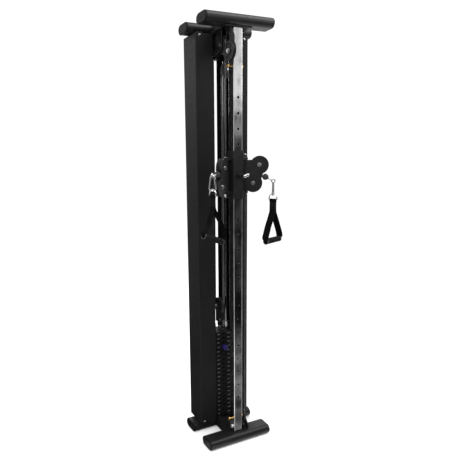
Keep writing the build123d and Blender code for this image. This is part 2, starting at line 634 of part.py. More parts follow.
def build_brackets():
    pieces = {"bracket": right_bracket(), "bracket_bolts": bracket_bolts(), "handle_cable": handle_cable(),
              "inner_pulley": bracket_pulley(LOW_PULLEY), "outer_pulley": bracket_pulley(HIGH_PULLEY)}
    for name, shape in pieces.items():
        keep("right_" + name, to_right(shape))
        keep("left_" + name, to_left(shape))


# ---------------------------------------------------------------- handles
def outward(side):
    """Unit vector in which a bracket points."""
    a = radians(BRACKET_ANGLE)
    return Vector((1 if side == "right" else -1) * cos(a), -sin(a), 0)


def swivel_axis(side):
    return RIGHT_AXIS if side == "right" else LEFT_AXIS


def eye_centre(side):
    data = HANDLES[side]
    return at(swivel_axis(side) + outward(side) * data["reach"], data["eye_z"])


def ball_centre(side):
    z = BALL[1] if side == "right" else 2 * BRACKET_MID_Z - BALL[1]
    return at(swivel_axis(side) + outward(side) * BALL[0], z)


def ball_stop(side):
    """The rubber ball and the swaged eye on the cable's end."""
    ball, eye = ball_centre(side), eye_centre(side)
    direction = (eye - ball).normalized()
    along = Plane(origin=ball, z_dir=direction)
    reach = (eye - ball).length
    stem = Cylinder(RING_WIRE_R, reach - 7, align=(Align.CENTER, Align.CENTER, Align.MIN))
    shape = along.location * (Sphere(BALL_R) + stem)
    plane = Plane(origin=eye, x_dir=-direction, z_dir=outward(side).cross(UP))
    return shape + plane.location * Torus(9, RING_WIRE_R)


CARABINER_FALL = 71.0         # between the wire's centre at the top and at the bottom
CARABINER_TOP = 8.0           # half of the width at the top and at the bottom, between wire centres
CARABINER_LOW = 17.0
EYE_SLACK = 2.2


def carabiner_origin(side):
    """Centre of the wire at the top of the carabiner."""
    return eye_centre(side) - UP * EYE_SLACK


def carabiner_plane(side):
    """Local x across the carabiner, local y up."""
    across = outward(side).cross(UP).rotate(Axis.Z, HANDLES[side]["turn"])
    return Plane(origin=carabiner_origin(side), x_dir=across, z_dir=across.cross(UP))


def wire_side(fall):
    """The place on the carabiner's gate side at a distance below the top."""
    return CARABINER_TOP + (CARABINER_LOW - CARABINER_TOP) * fall / CARABINER_FALL, -fall


def carabiner(side):
    """The pear-shaped wire body, open where the gate closes it."""
    top, low, depth = CARABINER_TOP, CARABINER_LOW, CARABINER_FALL
    points = [wire_side(15), (top, 0), (-top, 0), (-low, -depth), (low, -depth), wire_side(57)]
    path = carabiner_plane(side).location * FilletPolyline(*points, radius=(7, 7, 12, 12))
    start = path @ 0
    return sweep(Plane(origin=start, z_dir=path % 0) * Circle(WIRE_R), path=path)


def gate_ends(side):
    place = carabiner_plane(side)
    return (place.from_local_coords(Vector(*wire_side(55.8))),
            place.from_local_coords(Vector(*wire_side(15.4))))


def gate(side):
    low, high = gate_ends(side)
    return rod(tuple(low), tuple(high), WIRE_R - 0.4)


def grip_plane(side, z):
    """Local x along the grip's plan direction, local y up."""
    a = radians(HANDLES[side]["azimuth"])
    along = Vector(cos(a), sin(a), 0)
    return Plane(origin=at(eye_centre(side), z), x_dir=along, z_dir=along.cross(UP))


def ring_centre_z(side):
    return carabiner_origin(side).Z - CARABINER_FALL + WIRE_R + RING_WIRE_R + 0.6 - RING_HALF


def bar_z(side):
    return ring_centre_z(side) - 7


def d_ring(side):
    """A half-round ring with a straight bar for the webbing."""
    z = ring_centre_z(side)
    across = grip_plane(side, z).z_dir
    plane = Plane(origin=at(eye_centre(side), z), x_dir=across, z_dir=across.cross(UP))
    half, drop = RING_HALF, 7.0
    arc = ThreePointArc((half, 0), (0, half), (-half, 0))
    base = FilletPolyline((-half, 0), (-half, -drop), (half, -drop), (half, 0), radius=4)
    wire = plane.location * Wire([*arc.edges(), *base.edges()])
    start = plane.from_local_coords(Vector(half, 0))
    return sweep(Plane(origin=start, z_dir=UP) * Circle(RING_WIRE_R), path=wire)


def grip_z(side):
    return HANDLES[side]["eye_z"] - EYE_SLACK + WIRE_R - HANDLE_DROP


def grip_ends(side):
    """Local (along, up) places of the two ends of the grip."""
    tilt = radians(HANDLES[side]["tilt"])
    half = GRIP_LENGTH / 2
    return (-half * cos(tilt), half * sin(tilt)), (half * cos(tilt), -half * sin(tilt))


def strap(side):
    """The sewn webbing loop: a neck under the ring, two legs and the run through the grip."""
    z0 = grip_z(side)
    top = bar_z(side) + RING_WIRE_R + 4 - z0
    thick, neck = 4.0, 5.0
    bar = bar_z(side) - z0
    left, right = grip_ends(side)
    split = SPLIT_SHARE * bar
    legs = None
    tilt = radians(HANDLES[side]["tilt"])

    def by_end(end, out, up):
        return end[0] + out * cos(tilt) + up * sin(tilt), end[1] - out * sin(tilt) + up * cos(tilt)

    for end, sign in ((left, -1), (right, 1)):
        bow, bow_in = by_end(end, sign * -11, 62), by_end(end, sign * -17, 60)
        outline = [(sign * neck, split + 15), (sign * (neck + 3), split), bow, by_end(end, sign * thick, 24),
                   by_end(end, sign * (thick + 1), -14), by_end(end, sign * 0.6, -14),
                   by_end(end, sign * 0.6, 17), bow_in, (0, split - 10), (0, split + 15)]
        leg = make_face(Polyline(*outline, close=True))
        legs = leg if legs is None else legs + leg
    face = legs + make_face(Polyline((-neck, split + 8), (-neck, top - 3), (-neck + 3, top), (neck - 3, top),
                                     (neck, top - 3), (neck, split + 8), close=True))
    face -= Pos(0, bar) * Circle(RING_WIRE_R + 0.1)
    place = grip_plane(side, z0)
    shape = place.location * extrude(face, WEBBING / 2, both=True)
    through = place.location * Location((0, 0, 0), (0, 0, -degrees(tilt))) * Box(GRIP_LENGTH + 4, 3.0, 16)
    return shape + through


def grip(side):
    """The hollow grip that turns on the webbing."""
    tilt = HANDLES[side]["tilt"]
    bar = Cylinder(GRIP_R, GRIP_LENGTH) - Cylinder(GRIP_BORE, GRIP_LENGTH + 2)
    place = grip_plane(side, grip_z(side))
    return place.location * Location((0, 0, 0), (0, 0, -tilt)) * bar.rotate(Axis.Y, 90)


def build_handles():
    for side in HANDLES:
        keep(side + "_ball_stop", ball_stop(side))
        keep(side + "_carabiner", carabiner(side))
        keep(side + "_gate", gate(side))
        keep(side + "_d_ring", d_ring(side))
        keep(side + "_strap", strap(side))
        keep(side + "_grip", grip(side))


# ---------------------------------------------------------------- cable runs on the frame
def cable_along(path, start, direction):
    return sweep(Plane(origin=start, z_dir=direction) * Circle(CABLE_R), path=path)


def top_cable():
    """Over the turning pulley, back along the top and over the rear pulley."""
    a, b = LEFT_AXIS, FALL_REAR
    u = LEFT_TO_REAR.normalized()
    high = TURN_Z + PITCH_R
    turn = PITCH_R * (1 - cos(pi / 4))
    rise = TURN_Z + PITCH_R * sin(pi / 4)
    path = ThreePointArc(at(a, TURN_Z), at(a + u * turn, rise), at(a + u * PITCH_R, high))
    path += Line(at(a + u * PITCH_R, high), at(b - u * PITCH_R, high))
    path += ThreePointArc(at(b - u * PITCH_R, high), at(b - u * turn, rise), at(b, TURN_Z))
    return cable_along(path, at(a, TURN_Z), UP)


def return_cable():
    """Over the return pulley, down the frame and round the base pulley."""
    front, back, right = FALL_FRONT, RETURN_RUN, RIGHT_AXIS
    path = ThreePointArc(at(front, RETURN_Z), RETURN_CENTRE + UP * PITCH_R, at(back, RETURN_Z))
    path += Line(at(back, RETURN_Z), at(back, BASE_PULLEY_Z))
    path += ThreePointArc(at(back, BASE_PULLEY_Z), BASE_CENTRE - UP * PITCH_R, at(right, BASE_PULLEY_Z))
    return cable_along(path, at(front, RETURN_Z), UP)


def loop_cable():
    """Round the underside of the floating pulley."""
    centre = Vector(0, STACK_Y, FLOAT_Z)
    path = ThreePointArc(at(FALL_FRONT, FLOAT_Z), centre - UP * PITCH_R, at(FALL_REAR, FLOAT_Z))
    return cable_along(path, at(FALL_FRONT, FLOAT_Z), UP * -1)


def build_cables():
    bush_top = LUG_HIGH_Z + LUG + 4
    bush_low = LUG_LOW_Z - 4
    keep("frame_cable", group([top_cable(), return_cable()]))
    keep("loop_cable", loop_cable())
    keep("left_rise_cable", rod(tuple(at(LEFT_AXIS, bush_top)), tuple(at(LEFT_AXIS, TURN_Z)), CABLE_R))
    keep("right_rise_cable", rod(tuple(at(RIGHT_AXIS, BASE_PULLEY_Z)), tuple(at(RIGHT_AXIS, bush_low)), CABLE_R))
    keep("rear_fall_cable", rod(tuple(at(FALL_REAR, FLOAT_Z)), tuple(at(FALL_REAR, TURN_Z)), CABLE_R))
    keep("front_fall_cable", rod(tuple(at(FALL_FRONT, FLOAT_Z)), tuple(at(FALL_FRONT, RETURN_Z)), CABLE_R))


build_frame()
build_covers()
build_fixed_pulleys()
build_stack()
build_carriage()
build_brackets()
build_handles()
build_cables()

os.makedirs("parts", exist_ok=True)
for node, solid in PARTS.items():
    export_step(solid, "parts/" + node + ".step")
print(len(PARTS), "nodes written")
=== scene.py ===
import json
import math

import bpy
from mathutils import Matrix, Vector


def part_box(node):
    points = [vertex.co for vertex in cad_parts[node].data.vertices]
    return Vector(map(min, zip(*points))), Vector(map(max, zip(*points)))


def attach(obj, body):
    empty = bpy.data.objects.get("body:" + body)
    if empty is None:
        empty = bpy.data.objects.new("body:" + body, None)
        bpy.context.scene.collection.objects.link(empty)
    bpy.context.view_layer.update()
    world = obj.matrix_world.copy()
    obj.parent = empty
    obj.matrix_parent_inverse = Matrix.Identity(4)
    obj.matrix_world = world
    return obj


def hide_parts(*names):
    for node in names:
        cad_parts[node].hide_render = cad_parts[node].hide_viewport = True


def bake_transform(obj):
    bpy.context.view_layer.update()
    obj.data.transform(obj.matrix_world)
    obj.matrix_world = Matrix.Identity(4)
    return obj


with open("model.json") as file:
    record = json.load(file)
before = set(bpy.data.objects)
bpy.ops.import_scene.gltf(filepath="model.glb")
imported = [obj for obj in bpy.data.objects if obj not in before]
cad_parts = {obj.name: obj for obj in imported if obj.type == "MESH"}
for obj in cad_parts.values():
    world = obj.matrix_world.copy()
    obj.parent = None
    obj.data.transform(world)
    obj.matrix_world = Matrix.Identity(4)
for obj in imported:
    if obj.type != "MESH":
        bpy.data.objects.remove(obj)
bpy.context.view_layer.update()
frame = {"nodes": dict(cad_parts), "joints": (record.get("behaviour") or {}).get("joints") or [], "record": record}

RECORD = frame["record"]
JOINTS = {j["name"]: j for j in frame["joints"]}
SIDES = ("left", "right")
UP = Vector((0, 0, 1))

# ---------------------------------------------------------------- real sizes, metres
PITCH_R = 0.041
CABLE_R = 0.003
RING_WIRE_R = 0.003
BALL_R = 0.016
GRIP_R = 0.015
GRIP_LENGTH = 0.126
WEB_WIDTH = 0.0375
WEB_THICK = 0.0028
PHASE = {"left": 0.6, "right": 2.4}    # where each strap's slight waves start
SPLIT_SHARE = 0.70                      # the strap's legs part this far up from the grip to the ring's bar
WAVE_HEIGHT, WAVE_PER_M = 0.0005, 75    # the strap's slight waves along its free legs
STRAP_CROWN = 0.0008                    # how far a free leg's middle stands over its edges
STITCH_PITCH, STITCH_RISE, STITCH_R = 0.0034, 0.00035, 0.00028
COLLAR_LENGTH, GRIP_BORE_R, GRIP_RIBS = 0.0075, 0.0112, 30
PARTING_GROOVE = 0.0007                 # round the middle of a stop ball
WIRE_EYE_R = 0.009
CRIMP_COUNT, CRIMP_END = 4, 0.0085      # the crimped sleeve ends this far from the eye's centre
RIVET_RISE = 0.0012
HUB_HALF = 0.0096
RACES = ((0.0093, 0.0117, 0.0002), (0.0053, 0.0068, 0.00025))   # inner and outer radius, stand
RIB_COUNT, RIB_REACH, RIB_HALF = 6, (0.0135, 0.0318), 0.0011
RIB_TOP, RIB_FOOT = 0.0062, 0.0038      # from a pulley's middle plane
BRACKET_WASHER = (0.0052, 0.0104, 0.0012)   # inner and outer radius, thickness
HINGE_WASHER = (0.0085, 0.0125, 0.0008)
YOKE_CAP = (0.0075, 0.003)              # radius and height
BRACKET_HALF = 0.0141                   # from a bracket's middle to its outer face
SWIVEL_X = 0.056
HINGE_WASHERS_Z = (1.375, 1.543)
PLATE_PITCH = 0.0254
PAD_X, PAD_HALF_X, PAD_HALF_Z, PAD_DEPTH = 0.0325, 0.0085, 0.0028, 0.0016
SINK = 0.0002                           # how far a small piece sinks into the face that it sits on


# ---------------------------------------------------------------- material helpers
class Nodes:
    """A small builder for one material's node tree."""

    def __init__(self, name):
        self.mat = bpy.data.materials.new(name)
        self.mat.use_nodes = True
        self.tree = self.mat.node_tree
        self.shader = self.tree.nodes["Principled BSDF"]
        self.coords = self.add("ShaderNodeTexCoord")

    def add(self, kind, **values):
        node = self.tree.nodes.new(kind)
        for key, value in values.items():
            if key in node.inputs:
                node.inputs[key].default_value = value
            else:
                setattr(node, key, value)
        return node

    def link(self, a, b):
        self.tree.links.new(a, b)

    def noise(self, scale, detail=3.0, stretch=(1, 1, 1), source="Object", rough=0.55):
        """A noise value over the piece, stretched along any axis."""
        mapping = self.add("ShaderNodeMapping")
        mapping.inputs["Scale"].default_value = stretch
        self.link(self.coords.outputs[source], mapping.inputs["Vector"])
        node = self.add("ShaderNodeTexNoise", Scale=scale, Detail=detail, Roughness=rough)
        self.link(mapping.outputs["Vector"], node.inputs["Vector"])
        return node.outputs["Fac"]

    def ramp(self, value, low, high, at=(0.3, 0.7)):
        """Two grey or colour stops over a value."""
        node = self.add("ShaderNodeValToRGB")
        node.color_ramp.elements[0].position, node.color_ramp.elements[1].position = at
        node.color_ramp.elements[0].color = low if hasattr(low, "__len__") else (low, low, low, 1)
        node.color_ramp.elements[1].color = high if hasattr(high, "__len__") else (high, high, high, 1)
        self.link(value, node.inputs["Fac"])
        return node.outputs["Color"]

    def math(self, kind, a, b):
        node = self.add("ShaderNodeMath", operation=kind)
        for value, socket in ((a, node.inputs[0]), (b, node.inputs[1])):
            if isinstance(value, (int, float)):
                socket.default_value = value
            else:
                self.link(value, socket)
        return node.outputs[0]

    def bump(self, height, strength, distance, edge=0.0):
        """Relief from a height, on normals rounded at the edges where edge is the rounding's radius."""
        node = self.add("ShaderNodeBump", Strength=strength, Distance=distance)
        self.link(height, node.inputs["Height"])
        if edge:
            soft = self.add("ShaderNodeBevel", Radius=edge)
            soft.samples = 4
            self.link(soft.outputs["Normal"], node.inputs["Normal"])
        self.link(node.outputs["Normal"], self.shader.inputs["Normal"])

    def set(self, **values):
        for key, value in values.items():
            self.shader.inputs[key.replace("_", " ")].default_value = value


def grey(v, warm=0.0):
    return (v * (1 + warm), v, v * (1 - warm), 1)


def powder_coat(name, tone, rough, grain, relief, edge=0.0012, shine=0.35):
    """Baked powder coat: fine grain in the relief, slow drift in tone and sheen."""
    n = Nodes(name)
    drift = n.noise(3.0, 4.0)
    n.link(n.ramp(drift, grey(tone * 0.85), grey(tone * 1.15)), n.shader.inputs["Base Color"])
    n.link(n.ramp(n.noise(45.0, 5.0), rough - 0.05, rough + 0.06), n.shader.inputs["Roughness"])
    n.bump(n.noise(grain, 2.0), relief, 0.0004, edge)
    n.set(Specular_IOR_Level=shine)
    return n.mat


def plated(name, tone, rough, smear=0.05, stretch=(1, 1, 1), relief=0.04):
    """Polished plate with faint smears and waviness."""
    n = Nodes(name)
    n.link(n.ramp(n.noise(9.0, 4.0, stretch), tone[0], tone[1]), n.shader.inputs["Base Color"])
    n.link(n.ramp(n.noise(30.0, 5.0, stretch), rough, rough + smear), n.shader.inputs["Roughness"])
    n.bump(n.noise(60.0, 2.0, stretch), relief, 0.0004, 0.0006)
    n.set(Metallic=1.0)
    return n.mat


def moulded(name, tone, rough, grain=700.0, relief=0.25, edge=0.0007, shine=0.2):
    """Moulded plastic or rubber with a fine pebble and scuffs."""
    n = Nodes(name)
    low, high = tone
    n.link(n.ramp(n.noise(18.0, 5.0), low, high), n.shader.inputs["Base Color"])
    n.link(n.ramp(n.noise(80.0, 4.0), rough - 0.06, rough + 0.08), n.shader.inputs["Roughness"])
    n.bump(n.noise(grain, 2.0), relief, 0.0003, edge)
    n.set(Specular_IOR_Level=shine)
    return n.mat


def cast_plate(name):
    """Matt painted iron: sandy relief and rubbed edges."""
    n = Nodes(name)
    n.link(n.ramp(n.noise(25.0, 6.0), grey(0.002), grey(0.005)), n.shader.inputs["Base Color"])
    n.link(n.ramp(n.noise(70.0, 4.0), 0.42, 0.62), n.shader.inputs["Roughness"])
    n.bump(n.math("ADD", n.noise(420.0, 3.0), n.noise(60.0, 3.0)), 0.3, 0.0005, 0.0012)
    n.set(Specular_IOR_Level=0.1)
    return n.mat


def woven(name, tone):
    """Webbing in its own UV: U along the strap and V across it, both in metres."""
    n = Nodes(name)
    waves = []
    for direction, pitch in (("X", 0.0021), ("Y", 0.0017)):
        wave = n.add("ShaderNodeTexWave", wave_type="BANDS", bands_direction=direction,
                     Scale=1 / (pitch * 3.1), Distortion=0.4, Detail=1.0)
        n.link(n.coords.outputs["UV"], wave.inputs["Vector"])
        waves.append(wave.outputs["Fac"])
    weave = n.math("MULTIPLY", waves[0], waves[1])
    fuzz = n.noise(900.0, 3.0)
    height = n.math("ADD", weave, n.math("MULTIPLY", fuzz, 0.35))
    n.link(n.ramp(height, grey(tone * 0.45), grey(tone * 1.5), (0.15, 0.9)), n.shader.inputs["Base Color"])
    n.link(n.ramp(fuzz, 0.72, 0.9), n.shader.inputs["Roughness"])
    n.bump(height, 0.6, 0.0006)
    n.set(Specular_IOR_Level=0.06)
    return n.mat


def coated_cable(name):
    """Black nylon over strand: a faint spiral under a glossy skin."""
    n = Nodes(name)
    n.link(n.ramp(n.noise(40.0, 3.0), grey(0.008), grey(0.02)), n.shader.inputs["Base Color"])
    n.link(n.ramp(n.noise(120.0, 3.0), 0.22, 0.4), n.shader.inputs["Roughness"])
    wave = n.add("ShaderNodeTexWave", wave_type="BANDS", bands_direction="DIAGONAL", Scale=140.0,
                 Distortion=0.5, Detail=1.0)
    n.link(n.coords.outputs["Object"], wave.inputs["Vector"])
    n.bump(wave.outputs["Fac"], 0.18, 0.0004)
    n.set(Coat_Weight=0.3)
    return n.mat


CHROME_TONE = (grey(0.50), grey(0.64))
MATERIALS = {
    "frame_black": powder_coat("powder_coat_black", 0.0078, 0.38, 620.0, 0.22, shine=0.27),
    "cover_black": powder_coat("cover_coat_black", 0.0075, 0.48, 900.0, 0.38, 0.0008, 0.11),
    "chrome": plated("chrome_plate", CHROME_TONE, 0.05),
    "zinc": plated("zinc_plate", (grey(0.42, -0.02), grey(0.58)), 0.24, 0.12, relief=0.15),
    "brass": plated("yellow_plate", ((0.55, 0.33, 0.10, 1), (0.75, 0.50, 0.2, 1)), 0.22, 0.14, relief=0.15),
    "plate_black": cast_plate("plate_paint_black"),
    "pulley_black": moulded("nylon_black", (grey(0.006), grey(0.012)), 0.38),
    "cap_black": moulded("cap_plastic_black", (grey(0.004), grey(0.008)), 0.46, 500.0, 0.35, shine=0.07),
    "rubber_black": moulded("rubber_black", (grey(0.014), grey(0.026)), 0.55, 400.0, 0.4),
    "cable_black": coated_cable("cable_skin_black"),
    "webbing_black": woven("webbing_black", 0.0018),
    "grip_rubber": moulded("grip_rubber", (grey(0.004), grey(0.008)), 0.52, 900.0, 0.5, shine=0.09),
    "knob_violet": moulded("knob_violet", ((0.008, 0.005, 0.050, 1), (0.014, 0.009, 0.080, 1)), 0.40),
}


def column_chrome(name):
    """Chrome on drawn tube: a slight waviness, wiped smears and cloudy patches."""
    n = Nodes(name)
    cloud = n.ramp(n.noise(16.0, 3.0, (1, 1, 0.6)), grey(0.34), grey(0.60), (0.36, 0.56))
    n.link(cloud, n.shader.inputs["Base Color"])
    n.link(n.ramp(n.noise(40.0, 5.0, (1, 1, 0.3)), 0.06, 0.17), n.shader.inputs["Roughness"])
    ripple = n.math("ADD", n.noise(24.0, 2.0), n.math("MULTIPLY", n.noise(90.0, 2.0), 0.15))
    n.bump(ripple, 0.06, 0.002, 0.0007)
    n.set(Metallic=1.0)
    return n.mat


COLUMN_CHROME = column_chrome("column_chrome")
# The guide rods get a darker plate than the other chrome: painted shade, for rods that stand in the dark inside
# the covers.
SHADED_ROD_STEEL = plated("rod_steel_painted_shade", (grey(0.14), grey(0.24)), 0.07, 0.06, (1, 1, 0.2))
PAD_GREY = plated("pad_grey", (grey(0.16), grey(0.26)), 0.35, 0.15, relief=0.2)
THREAD = moulded("seam_thread", (grey(0.05), grey(0.09)), 0.6, 1500.0, 0.5, 0.0)
COLLAR = moulded("collar_plastic", (grey(0.016), grey(0.026)), 0.25, 300.0, 0.1)


# ---------------------------------------------------------------- mesh helpers
def piece(name, parts, body, slot, material=None, keep_sharp=35.0, uvs=None):
    """One object from a list of (points, faces), riding on a body."""
    points, faces = [], []
    for more_points, more_faces in parts:
        base = len(points)
        points += [tuple(p) for p in more_points]
        faces += [tuple(i + base for i in f) for f in more_faces]
    mesh = bpy.data.meshes.new(name)
    mesh.from_pydata(points, [], faces)
    mesh.polygons.foreach_set("use_smooth", [True] * len(mesh.polygons))
    if uvs:
        layer = mesh.uv_layers.new(name="UVMap")
        for loop in mesh.loops:
            layer.data[loop.index].uv = uvs[loop.vertex_index]
    mesh.validate()
    mesh.update()
    mesh.set_sharp_from_angle(angle=math.radians(keep_sharp))
    mesh.materials.append(material or MATERIALS[slot])
    obj = bpy.data.objects.new(name, mesh)
    bpy.context.scene.collection.objects.link(obj)
    if body:
        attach(obj, body)
    return obj


def basis(axis, hint=UP):
    """Two unit vectors square to axis and to each other."""
    axis = axis.normalized()
    if abs(axis.dot(hint)) > 0.95:
        hint = Vector((1, 0, 0))
    x = hint.cross(axis).normalized()
    return x, axis.cross(x)


def lathe(profile, origin, axis, sides=40, close=False):
    """Rings of (radius, distance along axis) about the axis. A radius of 0 makes a pole."""
    x, y = basis(axis)
    axis = axis.normalized()
    points, rings = [], []
    for radius, along in profile:
        if radius == 0:
            rings.append([len(points)] * sides)
            points.append(origin + axis * along)
            continue
        rings.append(list(range(len(points), len(points) + sides)))
        for k in range(sides):
            a = 2 * math.pi * k / sides
            points.append(origin + axis * along + (x * math.cos(a) + y * math.sin(a)) * radius)
    return points, skin(rings, sides, close)


def skin(rings, sides, close):
    """Faces between consecutive rings of point numbers."""
    faces = []
    pairs = list(zip(rings, rings[1:] + ([rings[0]] if close else [])))
    for a, b in pairs if close else pairs[:len(rings) - 1]:
        for k in range(sides):
            m = (k + 1) % sides
            corners = []
            for i in (a[k], a[m], b[m], b[k]):
                if i not in corners:
                    corners.append(i)
            if len(corners) > 2:
                faces.append(corners)
    return faces


def tube(path, radius, sides=12, closed=False):
    """A round wire along points, with its frame carried smoothly along."""
    path = [Vector(p) for p in path]
    count = len(path)
    points, rings = [], []
    side = None
    for i, p in enumerate(path):
        ahead = path[(i + 1) % count] if closed or i < count - 1 else p
        behind = path[i - 1] if closed or i else p
        tangent = (ahead - behind).normalized()
        side = basis(tangent)[0] if side is None else (side - tangent * side.dot(tangent)).normalized()
        other = tangent.cross(side)
        rings.append(list(range(len(points), len(points) + sides)))
        for k in range(sides):
            a = 2 * math.pi * k / sides
            points.append(p + (side * math.cos(a) + other * math.sin(a)) * radius)
    faces = skin(rings, sides, closed)
    if not closed:
        faces += [rings[0][::-1], rings[-1]]
    return points, faces


def arc_points(centre, x, y, radius, start, end, steps):
    """Points on a circle in the plane of x and y, angles in degrees."""
    out = []
    for i in range(steps + 1):
        a = math.radians(start + (end - start) * i / steps)
        out.append(centre + (x * math.cos(a) + y * math.sin(a)) * radius)
    return out


def rounded(points, radius, steps=6):
    """A polyline in 2-D with its inner corners rounded."""
    out = [points[0]]
    for a, b, c in zip(points, points[1:], points[2:]):
        a, b, c = Vector(a), Vector(b), Vector(c)
        before, after = (a - b), (c - b)
        reach = min(radius, before.length * 0.45, after.length * 0.45)
        p, q = b + before.normalized() * reach, b + after.normalized() * reach
        for i in range(steps + 1):
            t = i / steps
            out.append(tuple(p * (1 - t) ** 2 + b * 2 * t * (1 - t) + q * t * t))
    out.append(points[-1])
    return out


def resample(points, step):
    """The same line with a point at least every step."""
    out = [Vector(points[0])]
    for a, b in zip(points, points[1:]):
        a, b = Vector(a), Vector(b)
        count = max(1, math.ceil((b - a).length / step))
        out += [a.lerp(b, (i + 1) / count) for i in range(count)]
    return out


def joint_place(name):
    joint = JOINTS[name]
    return Vector(joint["pos_m"]), Vector(joint["axis"]).normalized()


# ---------------------------------------------------------------- CAD nodes: materials only
def paint_frame():
    slots = {s["node"]: s["material_slot"] for s in RECORD["subparts"]}
    for name, obj in frame["nodes"].items():
        material = {"column": COLUMN_CHROME, "guide_rods": SHADED_ROD_STEEL}.get(name, MATERIALS[slots[name]])
        obj.data.materials.clear()
        obj.data.materials.append(material)


# ---------------------------------------------------------------- pulleys and bolts
PULLEYS = ("guide_pulley", "turning_pulley", "rear_pulley", "return_pulley", "base_pulley", "floating_pulley")
PULLEYS += tuple(f"{side}_{which}_pulley" for side in SIDES for which in ("inner", "outer"))


def bearing(name):
    """The two bearing faces of a pulley: outer race, dark seal and inner race."""
    centre, axis = joint_place(name + "_spin")
    races, seals = [], []
    for sign in (-1, 1):
        face = axis * sign
        for inner, outer, stand in RACES:
            profile = [(inner, HUB_HALF - 0.001), (inner, HUB_HALF + stand), (outer, HUB_HALF + stand),
                       (outer, HUB_HALF - 0.001)]
            races.append(lathe(profile, centre, face, 36))
        seals.append(lathe([(0.0067, HUB_HALF), (0.0068, HUB_HALF + 0.0001), (0.0093, HUB_HALF + 0.0001),
                            (0.0094, HUB_HALF)], centre, face, 36))
    piece(name + "_races", races, name, "zinc")
    piece(name + "_seals", seals, name, "rubber_black")


def spokes(name):
    """Moulded ribs on both faces of a pulley."""
    centre, axis = joint_place(name + "_spin")
    x, y = basis(axis)
    parts = []
    for sign in (-1, 1):
        for k in range(RIB_COUNT):
            a = 2 * math.pi * k / RIB_COUNT
            out = x * math.cos(a) + y * math.sin(a)
            across = axis.cross(out) * RIB_HALF
            lift, low = axis * sign * RIB_TOP, axis * sign * RIB_FOOT
            points = []
            for r in RIB_REACH:
                for shift in (across, -across):
                    points += [centre + out * r + shift + low, centre + out * r + shift * 0.6 + lift]
            parts.append((points, [(0, 1, 5, 4), (2, 6, 7, 3), (1, 3, 7, 5), (0, 2, 3, 1), (4, 5, 7, 6)]))
    piece(name + "_ribs", parts, name, "pulley_black")


def build_pulleys():
    for name in PULLEYS:
        bearing(name)
        spokes(name)


def washer(origin, axis, inner, outer, thick):
    profile = [(inner, 0), (outer - 0.0003, 0), (outer, 0.0003), (outer, thick - 0.0003),
               (outer - 0.0003, thick), (inner, thick)]
    return lathe(profile, origin, axis, 36, close=True)


def domed_cap(origin, axis, radius, height):
    """A low dome that covers a bolt's end."""
    steps = 7
    profile = [(radius, 0.0)]
    for i in range(1, steps + 1):
        a = math.pi / 2 * i / steps
        profile.append((radius * math.cos(a) if i < steps else 0, height * math.sin(a)))
    return lathe(profile, origin, axis, 32)


def build_bolt_details():
    """Washers under the bracket bolts and round the hinge pivots."""
    for side in SIDES:
        parts = []
        for which in ("inner", "outer"):
            centre, axis = joint_place(f"{side}_{which}_pulley_spin")
            for sign in (1, -1):
                parts.append(washer(centre + axis * sign * BRACKET_HALF, axis * sign, *BRACKET_WASHER))
        piece(side + "_bracket_washers", parts, side + "_bracket", "zinc")
    parts = []
    for x in (-SWIVEL_X, SWIVEL_X):
        for z in HINGE_WASHERS_Z:
            parts.append(washer(Vector((x, 0, z)), UP, *HINGE_WASHER))
    piece("hinge_washers", parts, "carriage", "zinc")


def rounded_pad(centre, half_x, half_z, depth):
    """A low pad with rounded ends on a face that looks towards -Y."""
    points, count = [], 24
    for lift, shrink in ((0.0, 0.0), (depth * 0.7, 0.0), (depth, 0.0006)):
        for k in range(count):
            a = 2 * math.pi * k / count
            c, s = math.cos(a), math.sin(a)
            x = math.copysign(half_x - half_z, c) + (half_z - shrink) * c
            points.append(centre + Vector((x, -lift, (half_z - shrink) * s)))
    rings = [list(range(i * count, (i + 1) * count)) for i in range(3)]
    return points, skin(rings, count, False) + [rings[2]]


def build_plate_pads():
    """Two small light grey pads on the front of every plate."""
    for name, node, body in (("resting_pads", "resting_plates", "root"),
                             ("lifted_pads", "lifted_plates", "stack"),
                             ("head_pads", "head_plate", "stack")):
        low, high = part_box(node)
        parts = []
        for k in range(round((high.z - low.z) / PLATE_PITCH)):
            z = low.z + (k + 0.5) * PLATE_PITCH
            for x in (-PAD_X, PAD_X):
                parts.append(rounded_pad(Vector((x, low.y + SINK / 2, z)), PAD_HALF_X, PAD_HALF_Z, PAD_DEPTH))
        piece(name, parts, body, "zinc", PAD_GREY)


def build_yoke_caps():
    """Domed ends on the floating pulley's bolt."""
    centre, _ = joint_place("floating_pulley_spin")
    low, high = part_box("pulley_yoke")
    parts = [domed_cap(Vector((high.x - SINK, centre.y, centre.z)), Vector((1, 0, 0)), *YOKE_CAP),
             domed_cap(Vector((low.x + SINK, centre.y, centre.z)), Vector((-1, 0, 0)), *YOKE_CAP)]
    piece("yoke_caps", parts, "stack", "zinc")


# ---------------------------------------------------------------- handles
def handle_planes(side):
    """Centre of the grip, its axis, the strap's plan direction, the webbing's width direction."""
    centre, axis = joint_place(side + "_grip_spin")
    along = Vector((axis.x, axis.y, 0)).normalized()
    across = along.cross(UP)
    return centre, axis, along, across


